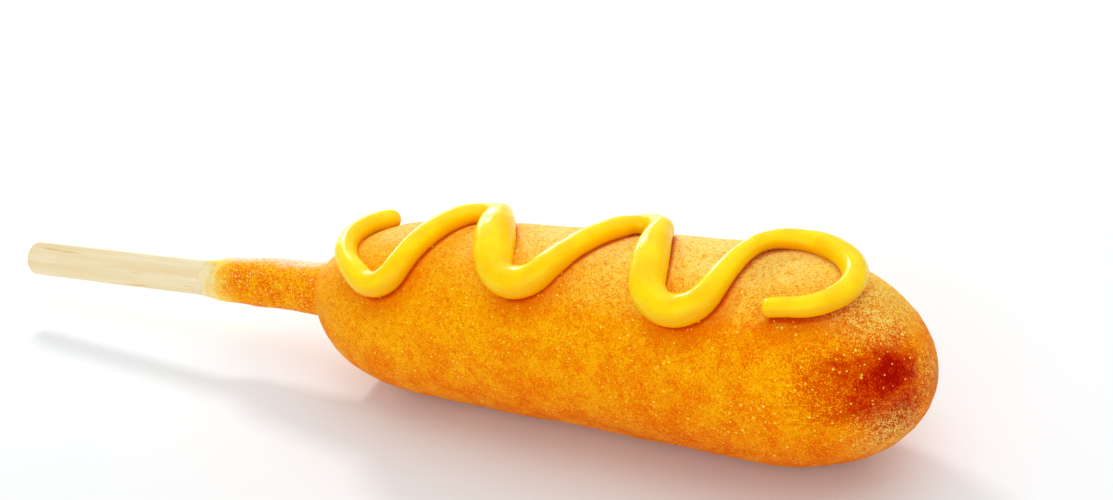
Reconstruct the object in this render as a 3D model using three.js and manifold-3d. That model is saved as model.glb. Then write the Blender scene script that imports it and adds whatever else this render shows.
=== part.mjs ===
// A corn dog lying down: a sausage dipped in batter and fried on a flat wooden stick, with a
// zigzag of mustard piped along its upper side.
//
// Millimetres, +Z up. +X runs along the corn dog to its rounded tip and -Y is the front. The
// origin is on the surface it lies on, below the middle of the whole length.
//
// The shapes are worked out in the shoulder frame, whose origin is where the middle line of
// the battered body starts, at the shoulder above the neck. "along" is the distance from there
// towards the tip, and "round" is the angle about the middle line, from the top to the front.

import * as THREE from 'three';
import { mergeVertices } from 'three/addons/utils/BufferGeometryUtils.js';
import Module from 'manifold-3d';

// --- Driving dimensions ---------------------------------------------------------------------

const OVERALL_LENGTH = 220; // from the end of the stick to the tip of the batter
const LYING_HEIGHT = 15.2; // of the middle line above the surface, at the shoulder

const BODY = {
  length: 130,
  radii: [16.4, 19.0, 19.8], // at the shoulder, halfway and at the tip, before the ends round off
  shoulder: { length: 30, fullness: 2.3 }, // a fullness of 2 is an ellipse, more is squarer
  tip: { length: 29, fullness: 2.0 },
  pitch: THREE.MathUtils.degToRad(2), // the middle line rises towards the tip
  arch: 1.2, // and bows upwards by this much halfway
};

// The batter is uneven: each swell is a soft wave in the radius.
const SWELLS = [
  { height: 0.16, waves: 2.3, turns: 1, phase: 0.4 },
  { height: 0.12, waves: 3.7, turns: -2, phase: 2.1 },
  { height: 0.09, waves: 5.9, turns: 3, phase: 4.4 },
];

const NECK = {
  length: 35.5, // of the batter that runs down the stick
  halfWidth: [4.7, 5.7], // across the stick, at the free end and at the shoulder
  halfDepth: [3.1, 5.1],
  hump: 0.8, // how far its middle line has risen off the stick's, at the shoulder
  blend: 8, // length over which its middle line runs into the body's
  fillet: 6, // where it meets the body; a higher number is sharper
  lip: 2.2, // length over which the free end rounds off
  ragged: { reach: 1.3, turns: 2, phase: 1 }, // how the free end runs out and in
  lumps: { height: 0.22, pitch: 9, turns: 2 }, // one lump follows another by pitch
};

const STICK = {
  length: 140,
  width: 7.7,
  thickness: 2.1,
  bevel: 0.4,
  slope: THREE.MathUtils.degToRad(3),
  rise: 0.9, // of its middle line above the body's, at the shoulder
  lean: THREE.MathUtils.degToRad(54), // of its broad face, from the top to the front
};

const SLOT_CLEARANCE = 0.3; // between the stick and the batter round it

// The mustard is one bead, laid round these turns in order. round is in millimetres on a
// cylinder of MUSTARD.unrollRadius. A turn's radius is negative where the bead turns against
// the clock, seen from above with the tip to the right. swell widens the strand that follows.
const MUSTARD = {
  unrollRadius: 20,
  turns: [
    { along: 14.6, round: -10.8, radius: 0, width: 3.8, swell: 0.3 },
    { along: 27.1, round: -0.5, radius: -16.0, width: 4.5, swell: 0 },
    { along: 23.8, round: 11.0, radius: -4.7, width: 5.2, swell: 0 },
    { along: 45.2, round: -0.6, radius: 11.4, width: 4.5, swell: 0 },
    { along: 39.0, round: -5.0, radius: 4.0, width: 4.5, swell: 2.7 },
    { along: 55.6, round: 6.0, radius: -6.4, width: 6.3, swell: -0.4 },
    { along: 79.1, round: 2.4, radius: 11.0, width: 4.2, swell: -0.7 },
    { along: 74.9, round: -3.1, radius: 4.2, width: 4.3, swell: 1.6 },
    { along: 88.8, round: 7.4, radius: -6.6, width: 6.0, swell: -1.9 },
    { along: 107.4, round: 1.2, radius: 9.4, width: 4.7, swell: 0.2 },
    { along: 105.4, round: 11.3, radius: 0, width: 3.5, swell: 0 },
  ],
  meanWidth: 5.2,
  lift: 1.75, // of its middle line above the crust, where it is of mean width
  halfHeight: 2.45,
};

// How finely the faceted solids follow the shapes.
const FACETS = {
  roundBody: 50,
  neckRings: 16,
  neckCrowding: 1.5, // above 1, the rings crowd towards the lip
  bodyRings: 46,
  roundBead: 12,
  beadStep: 1.6,
  roundStick: 12,
};

const TINY = 0.01; // step for slopes, in millimetres or radians

// --- The battered body ----------------------------------------------------------------------

/** How far an end has rounded off: 0 at its pole, 1 where the body has its full radius. */
function roundedEnd(distance, end) {
  const left = THREE.MathUtils.clamp(1 - distance / end.length, 0, 1);
  return (1 - left ** end.fullness) ** (1 / end.fullness);
}

function bodyRadius(along) {
  const t = THREE.MathUtils.clamp(along / BODY.length, 0, 1);
  const [first, middle, last] = BODY.radii;
  const full = first * (1 - t) * (1 - 2 * t) + 4 * middle * t * (1 - t) + last * t * (2 * t - 1);
  return full * roundedEnd(along, BODY.shoulder) * roundedEnd(BODY.length - along, BODY.tip);
}

function swell(along, round) {
  const turn = (2 * Math.PI * along) / BODY.length;
  return SWELLS.reduce(
    (sum, wave) => sum + wave.height * Math.sin(wave.waves * turn + wave.turns * round + wave.phase),
    0,
  );
}

/** Height of the stick's middle line. */
function stickLine(along) {
  return STICK.rise + along * Math.tan(STICK.slope);
}

/** Height of the middle line: along the stick in the neck, then the body's own gentle bow. */
function middleLine(along) {
  const t = along / BODY.length;
  const body = along * Math.sin(BODY.pitch) + BODY.arch * 4 * t * (1 - t);
  const down = THREE.MathUtils.clamp(-along / NECK.length, 0, 1);
  const neck = stickLine(along) + NECK.hump * (1 - down ** 2);
  return THREE.MathUtils.lerp(neck, body, THREE.MathUtils.smoothstep(along, 0, NECK.blend));
}

/** Radius of the neck's oval section, whose broad side lies along the stick's face. */
function neckRadius(along, round) {
  const up = THREE.MathUtils.clamp(1 + along / NECK.length, 0, 1);
  const halfWidth = THREE.MathUtils.lerp(...NECK.halfWidth, up);
  const halfDepth = THREE.MathUtils.lerp(...NECK.halfDepth, up);
  const turned = round - STICK.lean;
  const oval = 1 / Math.hypot(Math.cos(turned) / halfDepth, Math.sin(turned) / halfWidth);
  const lump = Math.sin((2 * Math.PI * along) / NECK.lumps.pitch + NECK.lumps.turns * round);
  return oval + NECK.lumps.height * lump * Math.sin(Math.PI * up);
}

/** Radius of the batter: the neck runs into the body through a small fillet. */
function batterRadius(along, round) {
  const body = bodyRadius(along);
  const uneven = swell(along, round) * (body / BODY.radii[1]);
  if (along > BODY.shoulder.length) {
    return body + uneven;
  }
  const neck = neckRadius(along, round);
  return (neck ** NECK.fillet + body ** NECK.fillet) ** (1 / NECK.fillet) + uneven;
}

/** A point at a given radius about the middle line. */
function pointAbout(along, round, radius) {
  const upright = radius * Math.cos(round);
  return new THREE.Vector3(
    along * Math.cos(BODY.pitch) - upright * Math.sin(BODY.pitch),
    -radius * Math.sin(round),
    middleLine(along) + upright * Math.cos(BODY.pitch),
  );
}

function crustPoint(along, round) {
  return pointAbout(along, round, batterRadius(along, round));
}

/** Outward normal of the crust. */
function crustNormal(along, round) {
  const lengthwise = crustPoint(along + TINY, round).sub(crustPoint(along - TINY, round));
  const crosswise = crustPoint(along, round + TINY).sub(crustPoint(along, round - TINY));
  return crosswise.cross(lengthwise).normalize();
}

/** The rings of the neck, from the ragged lip on the stick up to the shoulder. */
function neckRings() {
  const { reach, turns, phase } = NECK.ragged;
  const rings = [];
  for (let i = 0; i < FACETS.neckRings; i += 1) {
    const t = (i + 0.5) / FACETS.neckRings;
    const distance = NECK.length * t ** FACETS.neckCrowding;
    rings.push(ringOfBatter((round) => {
      const ragged = reach * Math.sin(turns * round + phase) * (1 - t) ** 2;
      const along = distance - NECK.length + ragged;
      const closing = Math.min(distance / NECK.lip, 1);
      return [along, batterRadius(along, round) * Math.sqrt(1 - (1 - closing) ** 2)];
    }));
  }
  return rings;
}

/** The rings of the body, closer together towards both rounded ends. */
function bodyRings() {
  const rings = [];
  for (let i = 0; i < FACETS.bodyRings; i += 1) {
    const t = (i + 0.5) / FACETS.bodyRings;
    const along = (BODY.length * (1 - Math.cos(Math.PI * t))) / 2;
    rings.push(ringOfBatter((round) => [along, batterRadius(along, round)]));
  }
  return rings;
}

/** One ring of points; place gives the distance along and the radius for an angle. */
function ringOfBatter(place) {
  const ring = [];
  for (let i = 0; i < FACETS.roundBody; i += 1) {
    const round = (2 * Math.PI * i) / FACETS.roundBody;
    const [along, radius] = place(round);
    ring.push(pointAbout(along, round, radius));
  }
  return ring;
}

function batterGeometry() {
  const freeEnd = pointAbout(-NECK.length, 0, 0);
  const tip = pointAbout(BODY.length, 0, 0);
  return loft(freeEnd, [...neckRings(), ...bodyRings()], tip);
}

// --- The mustard ----------------------------------------------------------------------------

/** The straight strand from one turn to the next: where it leaves, where it lands, its heading. */
function strand(from, to) {
  const run = new THREE.Vector2(to.along - from.along, to.round - from.round);
  const heading = run.angle() + Math.asin((from.radius - to.radius) / run.length());
  return { start: onTurn(from, heading), end: onTurn(to, heading), heading };
}

/** The point of a turn where the bead has the given heading. */
function onTurn(turn, heading) {
  return new THREE.Vector2(
    turn.along + turn.radius * Math.sin(heading),
    turn.round - turn.radius * Math.cos(heading),
  );
}

/** The unrolled route of the bead, as points with the bead's width at each. */
function mustardRoute() {
  const turns = MUSTARD.turns;
  const strands = turns.slice(1).map((turn, i) => strand(turns[i], turn));
  const points = [strands[0].start];
  const middles = [0]; // the index of the point halfway round each turn
  strands.forEach(({ start, end, heading }, i) => {
    const steps = Math.max(1, Math.round(start.distanceTo(end) / FACETS.beadStep));
    for (let k = 1; k <= steps; k += 1) {
      points.push(start.clone().lerp(end, k / steps));
    }
    if (i + 1 < strands.length) {
      middles.push(points.length - 1 + addArc(points, turns[i + 1], heading, strands[i + 1].heading));
    }
  });
  middles.push(points.length - 1);
  return { points, widths: mustardWidths(middles) };
}

/** Adds a turn's arc between two headings, and returns half its number of steps. */
function addArc(points, turn, from, to) {
  const full = 2 * Math.PI;
  const swept = THREE.MathUtils.euclideanModulo(Math.sign(turn.radius) * (to - from), full);
  const steps = Math.max(2, Math.round((swept * Math.abs(turn.radius)) / FACETS.beadStep));
  for (let k = 1; k <= steps; k += 1) {
    points.push(onTurn(turn, from + (Math.sign(turn.radius) * swept * k) / steps));
  }
  return Math.floor(steps / 2);
}

/** The bead's width at every point, eased from the middle of one turn to that of the next. */
function mustardWidths(middles) {
  const widths = [];
  for (let i = 0; i + 1 < middles.length; i += 1) {
    const from = MUSTARD.turns[i];
    const to = MUSTARD.turns[i + 1];
    for (let k = middles[i]; k < middles[i + 1]; k += 1) {
      const t = (k - middles[i]) / (middles[i + 1] - middles[i]);
      const plain = THREE.MathUtils.lerp(from.width, to.width, THREE.MathUtils.smoothstep(t, 0, 1));
      widths.push(plain + from.swell * Math.sin(Math.PI * t) ** 2);
    }
  }
  widths.push(MUSTARD.turns.at(-1).width);
  return widths;
}

/** The bead: oval rings swept along the route, standing on the crust, with domed ends. */
function mustardGeometry() {
  const { points, widths } = mustardRoute();
  const middle = points.map((point, i) => {
    const round = point.y / MUSTARD.unrollRadius;
    const normal = crustNormal(point.x, round);
    const plump = Math.sqrt(widths[i] / MUSTARD.meanWidth);
    const centre = crustPoint(point.x, round).addScaledVector(normal, MUSTARD.lift * plump);
    return { centre, normal, halfWidth: widths[i] / 2, halfHeight: MUSTARD.halfHeight * plump };
  });
  const rings = middle.map((spot, i) => {
    const before = middle[Math.max(i - 1, 0)].centre;
    const after = middle[Math.min(i + 1, middle.length - 1)].centre;
    return beadRing(spot, after.clone().sub(before).normalize());
  });
  const [start, next] = middle;
  const first = domedEnd(start, next, -1);
  const last = domedEnd(middle.at(-1), middle.at(-2), 1);
  return loft(first.pole, [first.ring, ...rings, last.ring], last.pole);
}

/** An oval ring about a spot of the bead, square to its heading. */
function beadRing({ centre, normal, halfWidth, halfHeight }, heading) {
  const side = normal.clone().cross(heading).normalize();
  const up = heading.clone().cross(side);
  const ring = [];
  for (let k = 0; k < FACETS.roundBead; k += 1) {
    const angle = (2 * Math.PI * k) / FACETS.roundBead;
    ring.push(centre.clone()
      .addScaledVector(side, halfWidth * Math.cos(angle))
      .addScaledVector(up, halfHeight * Math.sin(angle)));
  }
  return ring;
}

/** The smaller ring and the pole that round an end off; sense is -1 at the first end. */
function domedEnd(spot, inward, sense) {
  const shrink = 0.72;
  const reach = FACETS.beadStep;
  const out = spot.centre.clone().sub(inward.centre).normalize();
  const small = {
    ...spot,
    centre: spot.centre.clone().addScaledVector(out, reach * shrink),
    halfWidth: spot.halfWidth * shrink,
    halfHeight: spot.halfHeight * shrink,
  };
  return {
    ring: beadRing(small, out.clone().multiplyScalar(sense)),
    pole: spot.centre.clone().addScaledVector(out, reach),
  };
}

// --- The stick ------------------------------------------------------------------------------

/** A flat stick with round ends and eased edges, along +X with its broad face to +Z. */
function stickGeometry(clearance = 0) {
  const radius = STICK.width / 2 + clearance - STICK.bevel;
  const reach = STICK.length / 2 + clearance - STICK.bevel - radius;
  const outline = new THREE.Shape()
    .absarc(reach, 0, radius, -Math.PI / 2, Math.PI / 2, false)
    .absarc(-reach, 0, radius, Math.PI / 2, (3 * Math.PI) / 2, false);
  const geometry = new THREE.ExtrudeGeometry(outline, {
    depth: STICK.thickness + 2 * clearance - 2 * STICK.bevel,
    bevelThickness: STICK.bevel,
    bevelSize: STICK.bevel,
    bevelSegments: 2,
    curveSegments: FACETS.roundStick,
  });
  return geometry.translate(0, 0, STICK.bevel - STICK.thickness / 2 - clearance);
}

/** Where the stick lies in the shoulder frame: up the neck and into the body. */
function stickPlace() {
  const freeEnd = BODY.length - OVERALL_LENGTH;
  const middle = freeEnd + (STICK.length / 2) * Math.cos(STICK.slope);
  const lengthwise = new THREE.Vector3(Math.cos(STICK.slope), 0, Math.sin(STICK.slope));
  const facing = new THREE.Vector3(0, -Math.sin(STICK.lean), Math.cos(STICK.lean));
  const across = facing.clone().cross(lengthwise).normalize();
  facing.crossVectors(lengthwise, across);
  return new THREE.Matrix4()
    .makeBasis(lengthwise, across, facing)
    .setPosition(middle, 0, stickLine(middle));
}

// --- Solids ---------------------------------------------------------------------------------

/**
 * A closed surface through rings of equal size, drawn together to a pole at each end. Each ring
 * turns to the right about the direction from the first pole to the last.
 */
function loft(firstPole, rings, lastPole) {
  const size = rings[0].length;
  const points = [firstPole, ...rings.flat(), lastPole];
  const last = points.length - 1;
  const at = (ring, k) => 1 + ring * size + (k % size);
  const triangles = [];
  for (let k = 0; k < size; k += 1) {
    triangles.push(0, at(0, k + 1), at(0, k));
    triangles.push(last, at(rings.length - 1, k), at(rings.length - 1, k + 1));
    for (let ring = 0; ring + 1 < rings.length; ring += 1) {
      const corner = [at(ring, k), at(ring, k + 1), at(ring + 1, k + 1), at(ring + 1, k)];
      triangles.push(corner[0], corner[1], corner[2], corner[0], corner[2], corner[3]);
    }
  }
  return new THREE.BufferGeometry().setFromPoints(points).setIndex(triangles);
}

const manifold = await Module();
manifold.setup();

/** The closed solid of a geometry. */
function solidOf(geometry) {
  const bare = geometry.clone();
  bare.deleteAttribute('normal');
  bare.deleteAttribute('uv');
  const welded = mergeVertices(bare);
  return new manifold.Manifold(new manifold.Mesh({
    numProp: 3,
    vertProperties: Float32Array.from(welded.attributes.position.array),
    triVerts: Uint32Array.from(welded.index.array),
  }));
}

function geometryOf(solid) {
  const mesh = solid.getMesh();
  const geometry = new THREE.BufferGeometry();
  geometry.setAttribute('position', new THREE.BufferAttribute(mesh.vertProperties, 3));
  geometry.setIndex(new THREE.BufferAttribute(mesh.triVerts, 1));
  geometry.computeVertexNormals();
  return geometry;
}

/** Everything below the surface that the corn dog lies on. */
function groundGeometry() {
  const depth = 20;
  return new THREE.BoxGeometry(2 * OVERALL_LENGTH, OVERALL_LENGTH, depth)
    .translate(0, 0, -LYING_HEIGHT - depth / 2);
}

// --- The pieces -----------------------------------------------------------------------------

/** The batter with the mustard on it, hollowed for the stick and pressed flat underneath. */
function batteredDog() {
  const slot = solidOf(stickGeometry(SLOT_CLEARANCE).applyMatrix4(stickPlace()));
  const solid = solidOf(batterGeometry())
    .add(solidOf(mustardGeometry()))
    .subtract(slot)
    .subtract(solidOf(groundGeometry()));
  const material = new THREE.MeshStandardMaterial({ color: 0xe8960f, roughness: 0.6, metalness: 0 });
  const mesh = new THREE.Mesh(geometryOf(solid), material);
  mesh.name = 'battered_dog';
  return mesh;
}

function woodenStick() {
  const material = new THREE.MeshStandardMaterial({ color: 0xe9dbb4, roughness: 0.7, metalness: 0 });
  const mesh = new THREE.Mesh(stickGeometry(), material);
  mesh.applyMatrix4(stickPlace());
  mesh.name = 'wooden_stick';
  return mesh;
}

const cornDog = new THREE.Group();
cornDog.position.set(OVERALL_LENGTH / 2 - BODY.length, 0, LYING_HEIGHT);
cornDog.add(batteredDog(), woodenStick());

export default cornDog;
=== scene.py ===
"""The looks of a corn dog that lies on its side: a battered sausage on a flat wooden stick.

Metres, +Z up. +X runs along the corn dog to its rounded tip, and -Y is the front. The shapes
are worked out from the shoulder, where the middle line of the battered body starts: "along" is
the distance from there towards the tip, and "round" is the angle about the middle line, from
the top to the front.
"""

import logging
import math
from collections.abc import Callable, Iterator, Mapping, Sequence
from contextlib import contextmanager
from dataclasses import dataclass, field
from enum import Enum
from functools import cache, cached_property
from typing import Any

import bpy
import numpy as np
from mathutils import Matrix, Vector
from mathutils.kdtree import KDTree


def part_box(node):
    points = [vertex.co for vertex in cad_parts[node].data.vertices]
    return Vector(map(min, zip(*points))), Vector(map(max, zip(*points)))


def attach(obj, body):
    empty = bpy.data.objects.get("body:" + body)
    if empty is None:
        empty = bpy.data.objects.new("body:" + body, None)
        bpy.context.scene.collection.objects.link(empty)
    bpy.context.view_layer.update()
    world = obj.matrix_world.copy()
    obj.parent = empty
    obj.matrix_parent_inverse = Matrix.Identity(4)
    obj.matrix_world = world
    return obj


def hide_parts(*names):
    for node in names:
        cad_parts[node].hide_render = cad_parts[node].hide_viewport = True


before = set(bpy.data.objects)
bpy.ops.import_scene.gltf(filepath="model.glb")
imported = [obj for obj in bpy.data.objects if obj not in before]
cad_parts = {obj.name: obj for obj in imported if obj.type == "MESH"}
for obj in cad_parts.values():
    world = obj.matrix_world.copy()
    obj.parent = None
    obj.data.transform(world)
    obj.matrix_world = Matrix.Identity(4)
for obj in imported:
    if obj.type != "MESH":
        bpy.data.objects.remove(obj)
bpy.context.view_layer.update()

MM = 0.001
WHITE = (1.0, 1.0, 1.0, 1.0)
SKY = Vector((-0.35, 0.45, 0.82)).normalized()  # where the most light comes from
STICK_SLOPE = math.radians(3)  # how far the stick rises towards the body

Colour = tuple[float, float, float, float]
Pair = tuple[float, float]
Triple = tuple[float, float, float]
Piece = bpy.types.Object
Material = bpy.types.Material
Tree = bpy.types.NodeTree
Socket = bpy.types.NodeSocket
Sockets = Mapping[str | int, Socket]  # a node's outputs, by name or by number
Value = Any  # a number, vector or colour, or the socket that gives one
Coats = tuple[tuple[Value, Value], ...]  # masks, each with the colour that it lays on
Ring = tuple[Vector, float]  # a place and a radius

log = logging.getLogger("corn_dog")


class Slot(Enum):
    """The record's material slots."""

    CRUST = "crust"
    MUSTARD = "mustard"
    WOOD = "stick_wood"


class Mask(Enum):
    """What is painted on the points of a mesh, for its material to read: how far each point faces
    the light, and the painted shade beside the mustard bead.
    """

    SKYWARD = "skyward"
    BESIDE_BEAD = "shade_beside_bead"


# --- Working with Blender ---


def seen(red: float, green: float, blue: float) -> Colour:
    """Turns a colour as a screen shows it into the linear one that shaders take.

    Args:
        red: Its red, 0 to 255.
        green: Its green.
        blue: Its blue.

    Returns:
        The linear colour, with full alpha.
    """
    shares = (level / 255 for level in (red, green, blue))
    linear = (s / 12.92 if s <= 0.04045 else ((s + 0.055) / 1.055) ** 2.4 for s in shares)
    return (*linear, 1.0)


def lerp(first: float, last: float, share: float) -> float:
    """The value a given share of the way from first to last."""
    return first + (last - first) * share


def clamp(value: float) -> float:
    """The value, kept between 0 and 1."""
    return min(max(value, 0.0), 1.0)


def smooth(value: float) -> float:
    """An eased step from 0 to 1."""
    share = clamp(value)
    return share * share * (3 - 2 * share)


def take_up(piece: Piece) -> None:
    """Makes one object the only selected and the active one.

    Args:
        piece: The object.
    """
    bpy.ops.object.select_all(action="DESELECT")
    piece.select_set(True)
    bpy.context.view_layer.objects.active = piece


@contextmanager
def editing(piece: Piece, select: str = "VERT") -> Iterator[None]:
    """Edit mode on one mesh, with all of it selected.

    Args:
        piece: The mesh's object.
        select: What selecting works by, VERT or EDGE.

    Yields:
        Nothing.
    """
    take_up(piece)
    bpy.ops.object.mode_set(mode="EDIT")
    bpy.ops.mesh.select_mode(type=select)
    bpy.ops.mesh.select_all(action="SELECT")
    yield
    bpy.ops.object.mode_set(mode="OBJECT")


def modify(piece: Piece, kind: str, **settings: Any) -> None:
    """Adds a modifier to a mesh and applies it.

    Args:
        piece: The mesh's object.
        kind: The modifier's type.
        settings: The modifier's own properties.
    """
    take_up(piece)
    modifier = piece.modifiers.new(kind.lower(), kind)
    for name, value in settings.items():
        setattr(modifier, name, value)
    bpy.ops.object.modifier_apply(modifier=modifier.name)


@dataclass(frozen=True)
class Relief:
    """One scale of unevenness in a surface: its size, its whole height and its octaves."""

    name: str
    size: float
    height: float
    depth: int = 0
    direction: str = "NORMAL"
    group: str = ""

    def press(self, piece: Piece) -> None:
        """Displaces the surface of a piece, half of the height out and half of it in.

        Args:
            piece: The mesh's object.
        """
        texture = bpy.data.textures.new(self.name, type="CLOUDS")
        texture.noise_basis = "BLENDER_ORIGINAL"
        texture.noise_scale = self.size
        texture.noise_depth = self.depth
        modify(
            piece,
            "DISPLACE",
            texture=texture,
            texture_coords="LOCAL",
            strength=self.height,
            mid_level=0.5,
            direction=self.direction,
            vertex_group=self.group,
        )


def pick_edges(piece: Piece, test: Callable[[Vector], bool]) -> None:
    """Selects, in edit mode, only the edges that pass a test.

    Args:
        piece: The mesh's object.
        test: Tells from an edge's run, end to end, whether it is selected.
    """
    bpy.ops.mesh.select_all(action="DESELECT")
    bpy.ops.object.mode_set(mode="OBJECT")
    for edge in piece.data.edges:
        first, last = (piece.data.vertices[index].co for index in edge.vertices)
        edge.select = test(last - first)
    bpy.ops.object.mode_set(mode="EDIT")


def rows(points: Any, name: str) -> np.ndarray:
    """Reads a vector that a mesh keeps for each of its points.

    Args:
        points: The mesh's list of points, or of their normals.
        name: The property that holds the vector.

    Returns:
        The vectors, one to a row.
    """
    vectors = np.empty(3 * len(points), dtype=np.float32)
    points.foreach_get(name, vectors)
    return vectors.reshape(-1, 3)


def paint(piece: Piece, mask: Mask, values: np.ndarray) -> None:
    """Keeps a value for each point of a mesh, for its material to read."""
    attribute = piece.data.attributes.new(mask.value, "FLOAT", "POINT")
    attribute.data.foreach_set("value", values.astype(np.float32))


def paint_skyward(piece: Piece) -> None:
    """Paints how far each point of a mesh faces the light: 1 towards it, -1 away from it."""
    facing = rows(piece.data.vertex_normals, "vector")
    paint(piece, Mask.SKYWARD, facing @ np.array(SKY))


def declare(piece: Piece, name: str, node: str) -> None:
    """Names a finished piece, shades it smooth, hangs it on the root body and hides the CAD node
    that it replaces.

    Args:
        piece: The finished object.
        name: The piece's name.
        node: The CAD node that it replaces.
    """
    take_up(piece)
    bpy.ops.object.shade_smooth()
    piece.name = name
    piece.data.name = name
    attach(piece, "root")
    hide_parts(node)
    triangles = sum(len(face.vertices) - 2 for face in piece.data.polygons)
    log.info("%s: %d triangles", name, triangles)


# --- Working with shader nodes ---


class Sketch:
    """Adds nodes to a material or a group, and wires them."""

    def __init__(self, tree: Tree) -> None:
        """Starts on a node tree."""
        self.tree = tree

    def node(
        self, kind: str, inputs: Mapping[str | int, Value] | None = None, **settings: Any
    ) -> Sockets:
        """Adds a node.

        Args:
            kind: The node's type, without its leading ShaderNode.
            inputs: A value, or a socket to link, for each named or numbered input.
            settings: The node's own properties.

        Returns:
            The new node's outputs.
        """
        node = self.tree.nodes.new("ShaderNode" + kind)
        for name, value in settings.items():
            setattr(node, name, value)
        self.feed(node, inputs or {})
        return node.outputs

    def feed(self, node: bpy.types.Node, inputs: Mapping[str | int, Value]) -> None:
        """Sets or links some of a node's inputs.

        Args:
            node: The node.
            inputs: A value, or a socket to link, for each named or numbered input.
        """
        for key, value in inputs.items():
            if isinstance(value, Socket):
                self.tree.links.new(value, node.inputs[key])
            else:
                node.inputs[key].default_value = value

    @cached_property
    def place(self) -> Socket:
        """The place on the object, in metres."""
        return self.node("TexCoord")["Object"]

    @cached_property
    def axes(self) -> Sockets:
        """The place's X, Y and Z."""
        return self.node("SeparateXYZ", {0: self.place})

    def painted(self, mask: Mask) -> Socket:
        """What is painted on the piece."""
        return self.node("Attribute", attribute_name=mask.value)["Fac"]

    def sum(self, operation: str, first: Value, second: Value, third: Value = 0.0) -> Socket:
        """A Math node's result."""
        return self.node("Math", {0: first, 1: second, 2: third}, operation=operation)[0]

    def times(self, first: Value, second: Value) -> Socket:
        """The product of two values."""
        return self.sum("MULTIPLY", first, second)

    def total(self, start: Value, *parts: tuple[Value, float]) -> Socket:
        """A value to which some others are added, each times its weight.

        Args:
            start: The first value.
            parts: The others, each with its weight.

        Returns:
            The sum.
        """
        for value, weight in parts:
            start = self.sum("MULTIPLY_ADD", value, weight, start)
        return start

    def ease(
        self, value: Value, low: Value, high: Value, to: float = 1.0, base: float = 0.0
    ) -> Socket:
        """An eased step from one result to another.

        Args:
            value: What the step depends on.
            low: The value where the step starts.
            high: The value where the step ends, which may be below low.
            to: The result at the step's end.
            base: The result at the step's start.

        Returns:
            The result.
        """
        limits = {"From Min": low, "From Max": high, "To Min": base, "To Max": to}
        step = self.node("MapRange", {"Value": value, **limits}, interpolation_type="SMOOTHSTEP")
        return step["Result"]

    def layers(self, colour: Value, *coats: tuple[Value, Value]) -> Socket:
        """A colour with others laid over it in turn.

        Args:
            colour: The colour at the bottom.
            coats: A mask and a colour for each layer, from the bottom up.

        Returns:
            The colour that shows.
        """
        for mask, coat in coats:
            colour = self.node("Mix", {0: mask, 6: colour, 7: coat}, data_type="RGBA")[2]
        return colour

    def noise(self, place: Value, scale: Value, detail: Value) -> Sockets:
        """A noise texture's value and its colour."""
        return self.node("TexNoise", {"Vector": place, "Scale": scale, "Detail": detail})

    def effect(self, group: Tree, **inputs: Value) -> Socket:
        """A shared effect's result, at the place on the object if no other Place is given."""
        return self.node("Group", {"Place": self.place, **inputs}, node_tree=group)[0]


class Surface(Sketch):
    """The nodes of one material, about its Principled shader."""

    def __init__(self, name: str, **constants: Value) -> None:
        """Starts a material.

        Args:
            name: The material's name.
            constants: What some of the shader's sockets are set to, by the socket's name with _ for
                spaces.
        """
        self.material = bpy.data.materials.new(name)
        self.material.use_nodes = True
        super().__init__(self.material.node_tree)
        self.shader = self.tree.nodes["Principled BSDF"]
        for label, value in constants.items():
            self.feed(self.shader, {label.replace("_", " "): value})

    def cover(
        self, colour: Value, roughness: Value, relief: Value, strength: float, depth: float
    ) -> Material:
        """Wires what differs over the surface.

        Args:
            colour: Its colour.
            roughness: Its roughness.
            relief: Its height, 0 to 1.
            strength: How strongly the relief shows.
            depth: What a height of 1 stands for, in metres.

        Returns:
            The finished material.
        """
        bump = self.node("Bump", {"Strength": strength, "Distance": depth, "Height": relief})
        inputs = {"Base Color": colour, "Roughness": roughness, "Normal": bump[0]}
        self.feed(self.shader, inputs)
        return self.material


def start_effect(name: str, output: str, **usual: float) -> tuple[Sketch, Sockets]:
    """Starts a shared effect, which reads a place and gives one value.

    Args:
        name: The group's name.
        output: The name of its result.
        usual: Its numbers, with their usual values.

    Returns:
        The sketch, and the sockets that give the group's inputs.
    """
    tree = bpy.data.node_groups.new(name, "ShaderNodeTree")
    tree.interface.new_socket("Place", in_out="INPUT", socket_type="NodeSocketVector")
    for label, value in usual.items():
        socket = tree.interface.new_socket(label, in_out="INPUT", socket_type="NodeSocketFloat")
        socket.default_value = value
    tree.interface.new_socket(output, in_out="OUTPUT", socket_type="NodeSocketFloat")
    return Sketch(tree), tree.nodes.new("NodeGroupInput").outputs


def end_effect(sketch: Sketch, result: Value) -> Tree:
    """Wires a shared effect's result and gives the finished group."""
    sketch.feed(sketch.tree.nodes.new("NodeGroupOutput"), {0: result})
    return sketch.tree


@cache
def unevenness() -> Tree:
    """A soft cloudy mask: 0 where the cloud is thinner than Low, 1 where it is past High.

    Returns:
        The node group.
    """
    usual = {"Size": 6 * MM, "Detail": 2.0, "Low": 0.35, "High": 0.65}
    sketch, given = start_effect("Unevenness", "Mask", **usual)
    scale = sketch.sum("DIVIDE", 1.0, given["Size"])
    cloud = sketch.noise(given["Place"], scale, given["Detail"])[0]
    return end_effect(sketch, sketch.ease(cloud, given["Low"], given["High"]))


@cache
def speckle() -> Tree:
    """Small round specks of mixed sizes: one in some of the cells, as Share says.

    Returns:
        The node group.
    """
    solid_core = 0.55
    sketch, given = start_effect("Speckle", "Mask", Spacing=2 * MM, Radius=0.3 * MM, Share=0.5)
    scale = sketch.sum("DIVIDE", 1.0, given["Spacing"])
    cells = sketch.node("TexVoronoi", {"Vector": given["Place"], "Scale": scale})
    chance = sketch.node("SeparateColor", {0: cells["Color"]})
    radius = sketch.times(given["Radius"], scale)
    radius = sketch.times(radius, sketch.ease(chance[1], 0, 1, to=1.5, base=0.5))
    speck = sketch.ease(cells["Distance"], radius, sketch.times(radius, solid_core))
    shown = sketch.sum("LESS_THAN", chance[0], given["Share"])
    return end_effect(sketch, sketch.times(speck, shown))


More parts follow.
